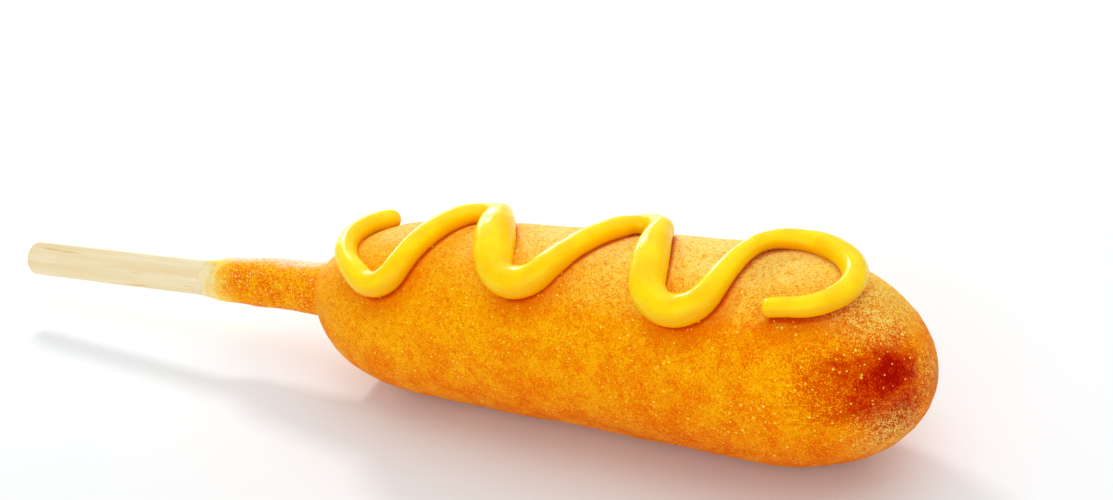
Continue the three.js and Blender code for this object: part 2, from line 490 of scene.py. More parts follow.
@cache
def grain() -> Tree:
    """The height of a fine grain, mixed with a coarser one as Share says.

    Returns:
        The node group.
    """
    coarser = 4.0
    sketch, given = start_effect("Grain", "Height", Size=0.5 * MM, Share=0.5)
    scale = sketch.sum("DIVIDE", 1.0, given["Size"])
    wide = sketch.sum("DIVIDE", scale, coarser)
    fine = sketch.noise(given["Place"], scale, detail=1.0)[0]
    coarse = sketch.noise(given["Place"], wide, detail=1.0)[0]
    return end_effect(sketch, sketch.node("Mix", {0: given["Share"], 2: fine, 3: coarse})[0])


# --- Finishes ---


@dataclass(frozen=True)
class Patch:
    """A soft-edged patch about a place, with a radius along each axis, in millimetres."""

    centre: Triple
    radii: Triple
    strength: float = 1.0

    def mask(self, sketch: Sketch, place: Value) -> Socket:
        """Draws the patch: its strength at the centre, 0 from its radii outwards.

        Args:
            sketch: The material's nodes.
            place: The place on the object, in metres.

        Returns:
            The patch's mask.
        """
        flat_from = 0.85
        centre, radii = ([size * MM for size in sizes] for sizes in (self.centre, self.radii))
        inputs = {"Vector": place, "Location": centre, "Scale": radii}
        inner = sketch.node("Mapping", inputs, vector_type="TEXTURE")[0]
        ball = sketch.node("TexGradient", {0: inner}, gradient_type="SPHERICAL")[1]
        return sketch.ease(ball, 0.0, flat_from, to=self.strength)


def strongest(sketch: Sketch, patches: Sequence[Patch], place: Value) -> Socket:
    """The strongest of some patches, at each place.

    Args:
        sketch: The material's nodes.
        patches: The patches.
        place: The place on the object, in metres.

    Returns:
        The mask of them all.
    """
    result = patches[0].mask(sketch, place)
    for patch in patches[1:]:
        result = sketch.sum("MAXIMUM", result, patch.mask(sketch, place))
    return result


@dataclass(frozen=True)
class CrustFinish:
    """Fried corn batter: golden to orange in soft patches, grainy, specked and browned, with
    painted light and shade: paler with a painted sheen where it faces the light, shaded beside the
    mustard and underneath.
    """

    golden: Colour = seen(250, 167, 3)
    orange: Colour = seen(242, 124, 2)
    deep: Colour = seen(228, 88, 0)
    # The next three: pale dried batter and flour on the top, partly a painted sheen where the crust
    # faces the light.
    dry_and_sheen: Colour = seen(247, 203, 60)
    husk: Colour = seen(250, 209, 88)
    flour_and_sheen: Colour = seen(248, 218, 156)
    # The next two: pale flour flecks about the tip, partly a painted sheen and reflection, over a
    # bran colour that is partly painted shade.
    dust_and_sheen: Colour = seen(248, 218, 112)
    bran_and_shade: Colour = seen(206, 128, 10)
    # A painted sheen on the neck's top, where it faces the light.
    sheen: Colour = seen(246, 220, 210)
    # The next two: painted shade beside the mustard bead, and a painted contact shadow along its
    # crease.
    painted_bead_shade: Colour = seen(226, 88, 0)
    painted_crease_shadow: Colour = seen(198, 54, 0)
    meal: Colour = seen(255, 204, 20)
    speck: Colour = seen(255, 220, 72)
    ruddy: Colour = seen(214, 78, 0)
    browned: Colour = seen(188, 32, 0)
    darkest: Colour = seen(158, 8, 2)
    film: Colour = seen(252, 212, 84)
    wood: Colour = seen(244, 228, 184)
    crumb: Colour = seen(255, 230, 140)
    neck: Pair = (-16 * MM, -25 * MM)  # x where it starts and is reached
    film_edge: Pair = (-32.5 * MM, -28.0 * MM)  # from bare wood to film
    film_end: Pair = (-28.2 * MM, -23.2 * MM)  # from film to full batter
    browning_and_shade: tuple[Patch, ...] = (
        Patch((105.5, -8.3, 26), (10.5, 9, 7.5)),
        Patch((103.5, -11.2, 24.4), (10.5, 9, 7.5), 0.78),
        Patch((102.3, -13.4, 21.8), (10, 9, 7), 0.72),
        Patch((101.5, -11.8, 25), (18, 16, 13), 0.55),
        # These two also darken the tip's underside as painted shade.
        Patch((106.5, -9, 19), (10, 12, 9), 0.78),
        Patch((109.5, -3, 21), (8, 10, 10), 0.42),
        Patch((100, -12.2, 27.8), (10, 9, 8), 0.62),
    )
    # Where pale flour flecks show, partly a painted sheen and reflection at the tip's top and lower
    # rim.
    dust_and_sheen_patches: tuple[Patch, ...] = (
        Patch((100, 0, 35), (16, 13, 9)),
        Patch((108, -12, 12.2), (12, 12, 12), 0.9),
        Patch((111, -1, 22), (6, 9, 9), 0.35),
        Patch((82, 0, 40), (12, 10, 8), 0.7),
    )

    def material(self) -> Material:
        """Draws the material.

        Returns:
            The finished material.
        """
        sketch = Surface("fried_batter", Specular_IOR_Level=0.04, Specular_Tint=seen(255, 140, 20))
        fine = sketch.effect(grain(), Size=0.28 * MM, Share=0.25)
        colour = sketch.layers(
            self.golden,
            *self.fried(sketch),
            *self.dried_and_sheen(sketch, fine),
            *self.grained(sketch, fine),
            *self.shade_by_bead(sketch),
            *self.browned_tip(sketch, fine),
            *self.floured_and_sheen(sketch, fine),
            *self.specks(sketch),
            *self.free_end(sketch, fine),
        )
        patchy = sketch.effect(unevenness(), Size=5 * MM)
        roughness = sketch.ease(patchy, 0, 1, to=0.62, base=0.48)
        return sketch.cover(colour, roughness, fine, strength=0.4, depth=0.16 * MM)

    def on_neck(self, sketch: Sketch) -> Socket:
        """1 on the neck, 0 on the body."""
        return sketch.ease(sketch.axes[0], *self.neck)

    def fried(self, sketch: Sketch) -> Coats:
        """More orange towards the tip and in soft patches, more orange underneath as painted shade,
        and less orange where the crust faces the light as painted light.

        Args:
            sketch: The material's nodes.

        Returns:
            The coats, from the bottom up.
        """
        towards_tip = sketch.ease(sketch.axes[0], 20 * MM, 95 * MM, to=0.20, base=-0.12)
        # Painted shade: more orange low down; painted light: less orange where the crust faces the
        # light.
        shaded_underneath = sketch.ease(sketch.axes[2], 23 * MM, 9 * MM, to=0.45)
        facing_light = sketch.ease(sketch.painted(Mask.SKYWARD), 0.45, 0.95, to=-0.45)
        broad = sketch.effect(unevenness(), Size=22 * MM, Detail=1.0)
        patches = sketch.effect(unevenness(), Size=5 * MM, Detail=3.0)
        blotches = sketch.effect(unevenness(), Size=2.6 * MM)
        neck = self.on_neck(sketch)
        parts = ((broad, 0.22), (patches, 0.52), (shaded_underneath, 1.0))
        neck_parts = ((sketch.times(neck, blotches), 0.40), (neck, -0.20))
        share = sketch.total(towards_tip, *parts, *neck_parts, (facing_light, 1.0))
        deeper = sketch.ease(share, 0.75, 1.3, to=0.8)
        return (sketch.ease(share, 0.05, 0.95), self.orange), (deeper, self.deep)

    def dried_and_sheen(self, sketch: Sketch, fine: Value) -> Coats:
        """Where the crust faces the light the top is paler, patchily, with a pale floury grain,
        partly dried batter and partly a painted sheen; the neck's top gets a painted sheen.

        Args:
            sketch: The material's nodes.
            fine: The height of the fine grain.

        Returns:
            The coats, from the bottom up.
        """
        ragged = sketch.effect(grain(), Size=2.2 * MM)
        # Painted sheen: how far the crust faces the light.
        facing = sketch.total(sketch.painted(Mask.SKYWARD), (ragged, 0.5))
        slight = sketch.ease(facing, 0.45, 0.95, to=0.45)
        strong = sketch.ease(facing, 0.80, 1.20, to=0.40)
        lengthwise = sketch.ease(sketch.axes[0], 15 * MM, 65 * MM, to=1.8, base=0.25)
        share = sketch.times(sketch.sum("ADD", slight, strong), lengthwise)
        grains = sketch.ease(fine, 0.48, 0.56, to=1.4)
        pale = sketch.layers(self.husk, (sketch.times(strong, 2.5), self.flour_and_sheen))
        upper = sketch.times(sketch.ease(facing, 0.90, 1.20, to=0.74), self.on_neck(sketch))
        floury_sheen = sketch.times(share, grains)
        return (sketch.times(share, 0.95), self.dry_and_sheen), (floury_sheen, pale), (upper, self.sheen)

    def grained(self, sketch: Sketch, fine: Value) -> Coats:
        """The grain of the meal: yellow where it stands up, darker between, with fewer dark grains
        where the crust faces the light, as painted light.

        Args:
            sketch: The material's nodes.
            fine: The height of the fine grain.

        Returns:
            The coats, from the bottom up.
        """
        flecks = sketch.effect(unevenness(), Size=0.7 * MM, Detail=1.0, Low=0.54, High=0.68)
        strength = sketch.total(1.0, (self.on_neck(sketch), 0.6))
        high = sketch.ease(fine, 0.48, 0.66, to=0.48)
        # Painted light: fewer dark grains where the crust faces the light.
        dried_and_sheen = sketch.ease(sketch.painted(Mask.SKYWARD), 0.40, 0.85, to=0.45, base=1.0)
        low = sketch.times(sketch.ease(fine, 0.52, 0.36, to=0.46), dried_and_sheen)
        return (
            (sketch.times(flecks, 0.45), self.deep),
            (sketch.times(high, strength), self.meal),
            (sketch.times(low, strength), self.deep),
        )

    def shade_by_bead(self, sketch: Sketch) -> Coats:
        """Painted shade on the batter below the mustard, on its side away from the light, with a
        painted contact shadow as a dark crease where they meet.

        Args:
            sketch: The material's nodes.

        Returns:
            The coats, from the bottom up.
        """
        near = sketch.painted(Mask.BESIDE_BEAD)
        # Painted shade, fainter where the crust faces the light; the crease is a painted contact
        # shadow.
        away_from_light = sketch.ease(sketch.painted(Mask.SKYWARD), 0.75, 0.35, to=1.0, base=0.1)
        painted_bead_shade = sketch.times(sketch.ease(near, 0.20, 0.95, to=0.56), away_from_light)
        return (painted_bead_shade, self.painted_bead_shade), (sketch.ease(near, 0.86, 0.98, to=0.85), self.painted_crease_shadow)

    def browned_tip(self, sketch: Sketch, fine: Value) -> Coats:
        """The tip has browned from the hot oil, darkest at one spot, and raggedly; some patches
        also darken the tip's underside as painted shade.

        Args:
            sketch: The material's nodes.
            fine: The height of the fine grain.

        Returns:
            The coats, from the bottom up.
        """
        swing = 7 * MM  # how far the patches' outlines wander
        wander = sketch.noise(sketch.place, scale=170.0, detail=3.0)[1]
        centred = {0: wander, 1: (0.5, 0.5, 0.5)}
        offset = sketch.node("VectorMath", centred, operation="SUBTRACT")[0]
        scaled = {0: offset, 1: (swing, swing, swing), 2: sketch.place}
        moved = sketch.node("VectorMath", scaled, operation="MULTIPLY_ADD")[0]
        brown = strongest(sketch, self.browning_and_shade, moved)
        brown = sketch.sum("SUBTRACT", brown, sketch.ease(fine, 0.44, 0.68, to=0.26, base=-0.05))
        drift = sketch.effect(grain(), Size=1.3 * MM, Share=0.3)
        brown = sketch.sum("SUBTRACT", brown, sketch.ease(drift, 0.36, 0.62, to=0.07, base=-0.05))
        return (
            (sketch.ease(brown, 0.0, 0.45, to=0.85), self.ruddy),
            (sketch.ease(brown, 0.3, 0.85), self.browned),
            (sketch.ease(brown, 0.65, 1.05), self.darkest),
        )

    def floured_and_sheen(self, sketch: Sketch, fine: Value) -> Coats:
        """Patches about the tip where pale flour flecks show over the browning, partly a painted
        sheen and reflection, over a bran colour that is partly painted shade.

        Args:
            sketch: The material's nodes.
            fine: The height of the fine grain.

        Returns:
            The coats, from the bottom up.
        """
        drift = sketch.effect(grain(), Size=1.1 * MM, Share=0.4)
        broken = sketch.ease(drift, 0.30, 0.60, to=1.0, base=0.35)
        dust_and_sheen = sketch.times(strongest(sketch, self.dust_and_sheen_patches, sketch.place), broken)
        grains = sketch.times(dust_and_sheen, sketch.ease(fine, 0.46, 0.565))
        return (sketch.times(dust_and_sheen, 0.45), self.bran_and_shade), (grains, self.dust_and_sheen)

    def specks(self, sketch: Sketch) -> Coats:
        """Yellow specks of cornmeal over the batter, a few of them large.

        Args:
            sketch: The material's nodes.

        Returns:
            The coats, from the bottom up.
        """
        many = sketch.effect(speckle(), Spacing=1.0 * MM, Radius=0.17 * MM, Share=0.6)
        few = sketch.effect(speckle(), Spacing=1.9 * MM, Radius=0.23 * MM, Share=0.7)
        both = sketch.sum("MAXIMUM", sketch.times(many, 0.75), sketch.times(few, 0.88))
        crumbs = sketch.effect(speckle(), Spacing=0.6 * MM, Radius=0.15 * MM, Share=0.8)
        thick = sketch.effect(unevenness(), Size=5 * MM, Low=0.42, High=0.62)
        crumbly = sketch.times(sketch.times(self.on_neck(sketch), thick), crumbs)
        return (both, self.speck), (crumbly, self.crumb)

    def free_end(self, sketch: Sketch, fine: Value) -> Coats:
        """The batter thins to a film on the stick, so the wood shows through.

        Args:
            sketch: The material's nodes.
            fine: The height of the fine grain.

        Returns:
            The coats, from the bottom up.
        """
        ragged = sketch.noise(sketch.place, scale=330.0, detail=4.0)[0]
        parts = ((ragged, 8 * MM), (sketch.axes[2], 0.36), (fine, 24 * MM))
        reach = sketch.total(sketch.axes[0], *parts)
        film = sketch.layers(self.wood, (sketch.ease(reach, *self.film_edge), self.film))
        return ((sketch.ease(reach, *self.film_end, to=0.0, base=1.0), film),)


@dataclass(frozen=True)
class MustardFinish:
    """Plain yellow mustard: smooth, moist and a little translucent, with painted shade: warmer and
    more orange where it faces away from the light.
    """

    bright: Colour = seen(255, 222, 4)
    warm: Colour = seen(255, 206, 0)
    shaded_orange: Colour = seen(246, 172, 0)

    def material(self) -> Material:
        """Draws the material.

        Returns:
            The finished material.
        """
        sketch = Surface(
            "yellow_mustard",
            Specular_IOR_Level=0.14,
            Specular_Tint=seen(255, 220, 90),
            Coat_Weight=0.07,
            Coat_IOR=2.2,
            Coat_Roughness=0.08,
            Subsurface_Weight=0.15,
            Subsurface_Radius=(1.0, 0.6, 0.05),
            Subsurface_Scale=1.0 * MM,
        )
        cloudy = sketch.effect(unevenness(), Size=5 * MM)
        facing = sketch.painted(Mask.SKYWARD)
        fine = sketch.effect(grain(), Size=0.35 * MM, Share=0.3)
        relief = sketch.effect(grain(), Size=0.9 * MM, Share=0.6)
        colour = sketch.layers(
            self.bright,
            (cloudy, self.warm),
            # Painted shade: warmer and more orange where the bead faces away from the light.
            (sketch.ease(facing, 0.30, -0.40, to=0.5), self.warm),
            (sketch.ease(facing, 0.05, -0.70, to=0.8), self.shaded_orange),
            (sketch.ease(fine, 0.5, 0.25, to=0.3), self.shaded_orange),
        )
        roughness = sketch.ease(cloudy, 0, 1, to=0.34, base=0.24)
        return sketch.cover(colour, roughness, relief, strength=0.35, depth=0.10 * MM)


@dataclass(frozen=True)
class WoodFinish:
    """Pale birch: fine grain lengthwise, with a few thin brown streaks."""

    pale: Colour = seen(245, 230, 192)
    warm: Colour = seen(234, 210, 156)
    streak: Colour = seen(224, 172, 52)
    stretch: float = 0.045

    def material(self) -> Material:
        """Draws the material.

        Returns:
            The finished material.
        """
        sketch = Surface("birch_wood", Specular_IOR_Level=0.35)
        turned = {"Vector": sketch.place, "Rotation": (0.0, STICK_SLOPE, 0.0)}
        level = sketch.node("Mapping", turned)[0]
        drawn = sketch.node("Mapping", {"Vector": level, "Scale": (self.stretch, 1.0, 1.0)})[0]
        fibres = sketch.noise(drawn, scale=2200.0, detail=4.0)[0]
        broad = sketch.effect(unevenness(), Place=drawn, Size=2.4 * MM, Detail=3.0)
        thin = {"Size": 0.9 * MM, "Detail": 1.0, "Low": 0.67, "High": 0.74}
        rare = sketch.effect(unevenness(), Place=drawn, **thin)
        colour = sketch.layers(
            self.pale,
            (sketch.times(broad, 0.7), self.warm),
            (sketch.ease(fibres, 0.4, 0.7, to=0.35), self.warm),
            (sketch.times(rare, 0.8), self.streak),
        )
        roughness = sketch.ease(fibres, 0.3, 0.7, to=0.68, base=0.5)
        return sketch.cover(colour, roughness, fibres, strength=0.4, depth=0.08 * MM)


@dataclass(frozen=True)
class FloorFinish:
    """A plain pale sheet, hardly mottled."""

    first: Colour = (0.82, 0.84, 0.85, 1.0)
    second: Colour = (0.80, 0.82, 0.83, 1.0)

    def material(self) -> Material:
        """Draws the material.

        Returns:
            The finished material.
        """
        sketch = Surface("pale_sheet", Roughness=0.9, Specular_IOR_Level=0.1)
        cloudy = sketch.effect(unevenness(), Size=300 * MM)
        colour = sketch.layers(self.first, (cloudy, self.second))
        sketch.feed(sketch.shader, {"Base Color": colour})
        return sketch.material


# --- The stick ---


@dataclass
class Stick:
    """The flat wooden stick, round at both ends and eased along its edges."""

    length: float = 140 * MM
    width: float = 7.7 * MM
    thickness: float = 2.1 * MM
    bevel: float = 0.4 * MM
    slope: float = STICK_SLOPE
    lean: float = math.radians(54)
    rings: int = 70
    finish: WoodFinish = WoodFinish()

    def axes(self) -> Matrix:
        """The stick's own axes: lengthwise, across its broad face, and the way that faces.

        Returns:
            The axes, as the columns of a matrix.
        """
        lengthwise = Vector((math.cos(self.slope), 0, math.sin(self.slope)))
        facing = Vector((0, -math.sin(self.lean), math.cos(self.lean)))
        across = facing.cross(lengthwise).normalized()
        facing = lengthwise.cross(across)
        return Matrix((lengthwise, across, facing)).transposed()

    def build(self) -> Piece:
        """Models the stick and puts it where its node is.

        Returns:
            The finished piece.
        """
        bpy.ops.mesh.primitive_cube_add(size=1, scale=(self.length, self.width, self.thickness))
        stick = bpy.context.object
        bpy.ops.object.transform_apply()
        self.round_ends(stick)
        self.ease_edges(stick)
        self.ring(stick)
        Relief("hand_planed", 11 * MM, 0.12 * MM).press(stick)
        low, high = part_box("wooden_stick")
        stick.matrix_world = Matrix.Translation((low + high) / 2) @ self.axes().to_4x4()
        take_up(stick)
        bpy.ops.object.transform_apply()
        stick.data.materials.append(self.finish.material())
        declare(stick, "flat_stick", "wooden_stick")
        return stick

    def round_ends(self, stick: Piece) -> None:
        """Bevels the four upright corners until each end is a half circle.

        Args:
            stick: The stick, lying level about the origin.
        """
        nearly = 0.999  # the bevels stop just short of meeting
        with editing(stick, "EDGE"):
            pick_edges(stick, lambda run: abs(run.z) > abs(run.x) + abs(run.y))
            bpy.ops.mesh.bevel(offset=self.width / 2 * nearly, segments=12, affect="EDGES")
            bpy.ops.mesh.select_all(action="SELECT")
            bpy.ops.mesh.remove_doubles(threshold=0.02 * MM)

    def ease_edges(self, stick: Piece) -> None:
        """Rounds over the edges of both broad faces.

        Args:
            stick: The stick, lying level about the origin.
        """
        with editing(stick, "EDGE"):
            pick_edges(stick, lambda run: abs(run.z) < 0.01 * MM)
            bpy.ops.mesh.bevel(offset=self.bevel, segments=3, affect="EDGES")

    def ring(self, stick: Piece) -> None:
        """Cuts the long faces across, so that relief has points to move.

        Args:
            stick: The stick, lying level about the origin.
        """
        with editing(stick):
            for index in range(1, self.rings):
                along = (index / self.rings - 0.5) * self.length
                bpy.ops.mesh.select_all(action="SELECT")
                bpy.ops.mesh.bisect(plane_co=(along, 0, 0), plane_no=(1, 0, 0))


# --- The batter ---


@dataclass(frozen=True)
class RoundedEnd:
    """How an end of the body rounds off. A fullness of 2 is an ellipse, more is squarer."""

    length: float
    fullness: float

    def share(self, distance: float) -> float:
        """How far the end has opened: 0 at its pole, 1 where the body has its full radius."""
        left = clamp(1 - distance / self.length)
        return (1 - left**self.fullness) ** (1 / self.fullness)


@dataclass
class Batter:
    """The fried batter: a round-ended body, and the neck that runs down the stick."""

    length: float = 130 * MM
    lying_height: float = 15.2 * MM
    radii: Triple = (16.4 * MM, 19.0 * MM, 19.8 * MM)
    shoulder: RoundedEnd = RoundedEnd(30 * MM, 2.3)
    tip: RoundedEnd = RoundedEnd(29 * MM, 2.0)
    pitch: float = math.radians(2)
    arch: float = 1.2 * MM
    neck_length: float = 35.5 * MM
    neck_width: Pair = (4.7 * MM, 5.7 * MM)
    neck_depth: Pair = (3.1 * MM, 5.1 * MM)
    hump: float = 0.8 * MM
    blend: float = 8 * MM
    fillet: float = 6.0
    stick_rise: float = 0.9 * MM
    plug: Pair = (0.42, 0.35)  # the neck's closed end: half width and half depth, over the stick's
    lip_reach: float = 8.5 * MM
    softness: float = 0.3 * MM
    stick: Stick = field(default_factory=Stick)
    sides: int = 64
    neck_rings: int = 20
    end_rings: int = 18
    middle_rings: int = 28
    finish: CrustFinish = CrustFinish()

    @cached_property
    def shoulder_x(self) -> float:
        """Where the shoulder lies along the frame's X axis."""
        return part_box("battered_dog")[1].x - self.length

    def body_radius(self, along: float) -> float:
        """Works out how thick the body is.

        Args:
            along: The distance from the shoulder, towards the tip.

        Returns:
            The radius, which is 0 at the body's two poles and past them.
        """
        t = clamp(along / self.length)
        first, middle, last = self.radii
        full = first * (1 - t) * (1 - 2 * t) + 4 * middle * t * (1 - t) + last * t * (2 * t - 1)
        return full * self.shoulder.share(along) * self.tip.share(self.length - along)

    def section(self, along: float) -> Pair:
        """Works out the batter's section, which is widest along the stick's broad face.

        Args:
            along: The distance from the shoulder, towards the tip.

        Returns:
            The half width, along that face, and the half depth, across it.
        """
        body = self.body_radius(along)
        if along > self.shoulder.length:
            return body, body
        up = clamp(1 + along / self.neck_length)
        neck = (lerp(*self.neck_width, up), lerp(*self.neck_depth, up))
        return tuple((size**self.fillet + body**self.fillet) ** (1 / self.fillet) for size in neck)

    def middle_line(self, along: float) -> float:
        """Works out how the middle line runs: along the stick, then in the body's bow.

        Args:
            along: The distance from the shoulder, towards the tip.

        Returns:
            Its height above the lying height.
        """
        t = along / self.length
        body = along * math.sin(self.pitch) + self.arch * 4 * t * (1 - t)
        down = clamp(-along / self.neck_length)
        stick = self.stick_rise + along * math.tan(self.stick.slope)
        neck = stick + self.hump * (1 - down**2)
        return lerp(neck, body, smooth(along / self.blend))

    def point_about(self, along: float, round_: float, radius: float) -> Vector:
        """Finds a point about the middle line.

        Args:
            along: The distance from the shoulder, towards the tip.
            round_: The angle about the middle line, from the top to the front.
            radius: The distance from the middle line.

        Returns:
            The point, in the frame.
        """
        upright = radius * math.cos(round_)
        return Vector((
            self.shoulder_x + along * math.cos(self.pitch) - upright * math.sin(self.pitch),
            -radius * math.sin(round_),
            self.lying_height + self.middle_line(along) + upright * math.cos(self.pitch),
        ))

    def crust_point(self, along: float, round_: float) -> Vector:
        """Finds a point of the crust, before its relief.

        Args:
            along: The distance from the shoulder, towards the tip.
            round_: The angle about the middle line, from the top to the front.

        Returns:
            The point, in the frame.
        """
        wide, deep = self.section(along)
        turned = round_ - self.stick.lean
        radius = 1 / math.hypot(math.cos(turned) / deep, math.sin(turned) / wide)
        return self.point_about(along, round_, radius)

    def crust_normal(self, along: float, round_: float) -> Vector:
        """Finds the way the crust faces, before its relief.

        Args:
            along: The distance from the shoulder, towards the tip.
            round_: The angle about the middle line, from the top to the front.

        Returns:
            The direction, out of the crust.
        """
        step, swing = 0.1 * MM, 0.005
        point = self.crust_point
        lengthwise = point(along + step, round_) - point(along - step, round_)
        crosswise = point(along, round_ + swing) - point(along, round_ - swing)
        return crosswise.cross(lengthwise).normalized()

    def stations(self) -> list[float]:
        """Spaces the rings: evenly, but closer together where the body rounds off.

        Returns:
            How far along each ring lies, in order.
        """
        down = [1 - index / self.neck_rings for index in range(self.neck_rings)]
        neck = [-self.neck_length * share for share in down]
        turns = [math.pi / 2 * (index + 0.5) / self.end_rings for index in range(self.end_rings)]
        shoulder = [self.shoulder.length * (1 - math.cos(turn)) for turn in turns]
        tip = [self.length - self.tip.length * (1 - math.cos(turn)) for turn in reversed(turns)]
        gap = tip[0] - shoulder[-1]
        cuts = range(1, self.middle_rings + 1)
        middle = [shoulder[-1] + gap * index / (self.middle_rings + 1) for index in cuts]
        return [*neck, *shoulder, *middle, *tip]

    def build(self, stick: Piece) -> Piece:
        """Models the batter around the stick.

        Args:
            stick: The finished stick, which the batter's free end clings to.

        Returns:
            The finished piece.
        """
        crust = self.extrude_rings()
        modify(crust, "SUBSURF", levels=2, render_levels=2)
        self.mark_lip(crust)
        for relief in self.reliefs():
            relief.press(crust)
        modify(
            crust,
            "SHRINKWRAP",
            target=stick,
            wrap_method="NEAREST_SURFACEPOINT",
            wrap_mode="ABOVE_SURFACE",
            offset=0.1 * MM,
            vertex_group="lip",
        )
        self.rest(crust)
        paint_skyward(crust)
        crust.data.materials.append(self.finish.material())
        declare(crust, "battered_crust", "battered_dog")
        return crust

    def extrude_rings(self) -> Piece:
        """Extrudes a round from ring to ring, from the free end of the neck to the tip.

        Returns:
            The crust, before it is smoothed.
        """
        stations = self.stations()
        start = self.point_about(stations[0], 0, 0)
        axes = self.stick.axes().transposed()
        inside = (self.stick.width * self.plug[0], self.stick.thickness * self.plug[1])
        first = 1 * MM
        bpy.ops.mesh.primitive_circle_add(
            vertices=self.sides,
            radius=first,
            fill_type="NGON",
            location=start,
            rotation=(0, math.pi / 2 - self.pitch, 0),
        )
        crust = bpy.context.object
        bpy.ops.object.transform_apply()
        with editing(crust):
            self.grow((first, first), inside, start, axes)
            before, spot = inside, start
            for along in (*stations, self.length):
                here = self.point_about(along, 0, 0)
                bpy.ops.mesh.extrude_region_move(TRANSFORM_OT_translate={"value": here - spot})
                if along < self.length:
                    self.grow(before, self.section(along), here, axes)
                before, spot = self.section(along), here
            bpy.ops.mesh.merge(type="CENTER")
            bpy.ops.mesh.select_all(action="SELECT")
            bpy.ops.mesh.normals_make_consistent()
        return crust

    @staticmethod
    def grow(before: Pair, after: Pair, centre: Vector, axes: Matrix) -> None:
        """Scales the ring that is selected.

        Args:
            before: Its half width and half depth now.
            after: The half width and half depth it should have.
            centre: Its middle.
            axes: The way its length, width and depth lie, as rows.
        """
        bpy.ops.transform.resize(
            value=(1, after[0] / before[0], after[1] / before[1]),
            orient_type="GLOBAL",
            orient_matrix=tuple(tuple(row) for row in axes),
            orient_matrix_type="GLOBAL",
            center_override=centre,
        )

    def mark_lip(self, crust: Piece) -> None:
        """Weighs the points near the neck's free end, by how closely they cling to the stick.

        Args:
            crust: The crust, before its relief.
        """
        group = crust.vertex_groups.new(name="lip")
        start = self.shoulder_x - self.neck_length
        plug_length, plug_radius = 0.3 * MM, 3.4 * MM
        plug_depth = self.stick.thickness * 0.36
        facing = self.stick.axes().col[2]
        middle = self.point_about(-self.neck_length, 0, 0)
        for vertex in crust.data.vertices:
            distance = vertex.co.x - start
            if distance > self.lip_reach:
                continue
            away = vertex.co - middle
            in_plug = away.length < plug_radius and abs(away.dot(facing)) < plug_depth
            if distance >= plug_length or not in_plug:
                group.add([vertex.index], 1 - smooth(distance / self.lip_reach), "REPLACE")

    def reliefs(self) -> tuple[Relief, ...]:
        """Lists the unevenness of the fried batter, from soft swells to fine crags.

        Returns:
            The reliefs, in the order in which they are pressed.
        """
        return (
            Relief("swells", 17 * MM, 0.7 * MM, depth=1),
            Relief("dents", 6 * MM, 0.22 * MM, depth=1),
            Relief("crags", 2.2 * MM, 0.14 * MM, depth=2),
            Relief("ragged_lip", 4 * MM, 3.2 * MM, direction="X", group="lip"),
        )

    def rest(self, crust: Piece) -> None:
        """Presses the underside flat where it lies on the surface.

        Args:
            crust: The crust, with its relief.
        """
        spots = rows(crust.data.vertices, "co")
        spots[:, 2] = (spots[:, 2] + np.sqrt(spots[:, 2] ** 2 + self.softness**2)) / 2
        crust.data.vertices.foreach_set("co", spots.ravel())
        crust.data.update()


# --- The mustard ---


@dataclass(frozen=True)
class Turn:
    """One turn of the bead, on the crust as unrolled: metres along and round it.

    The radius is negative where the bead turns against the clock, seen from above with the
    tip to the right. The swell widens the strand that follows.
    """

    along: float
    round: float
    radius: float
    width: float
    swell: float = 0.0

    def at(self, heading: float) -> Vector:
        """Finds the point of the turn where the bead has a given heading.

        Args:
            heading: The bead's direction there, as an angle.

        Returns:
            The point, along and round the crust.
        """
        return Vector((
            self.along + self.radius * math.sin(heading),
            self.round - self.radius * math.cos(heading),
        ))


def turn(along: float, round_: float, radius: float, width: float, swell: float = 0.0) -> Turn:
    """A turn given in millimetres."""
    return Turn(along * MM, round_ * MM, radius * MM, width * MM, swell * MM)


@dataclass(frozen=True)
class Stop:
    """A point of the bead's route: its spot along and round the crust, and its width there."""

    spot: Pair
    width: float


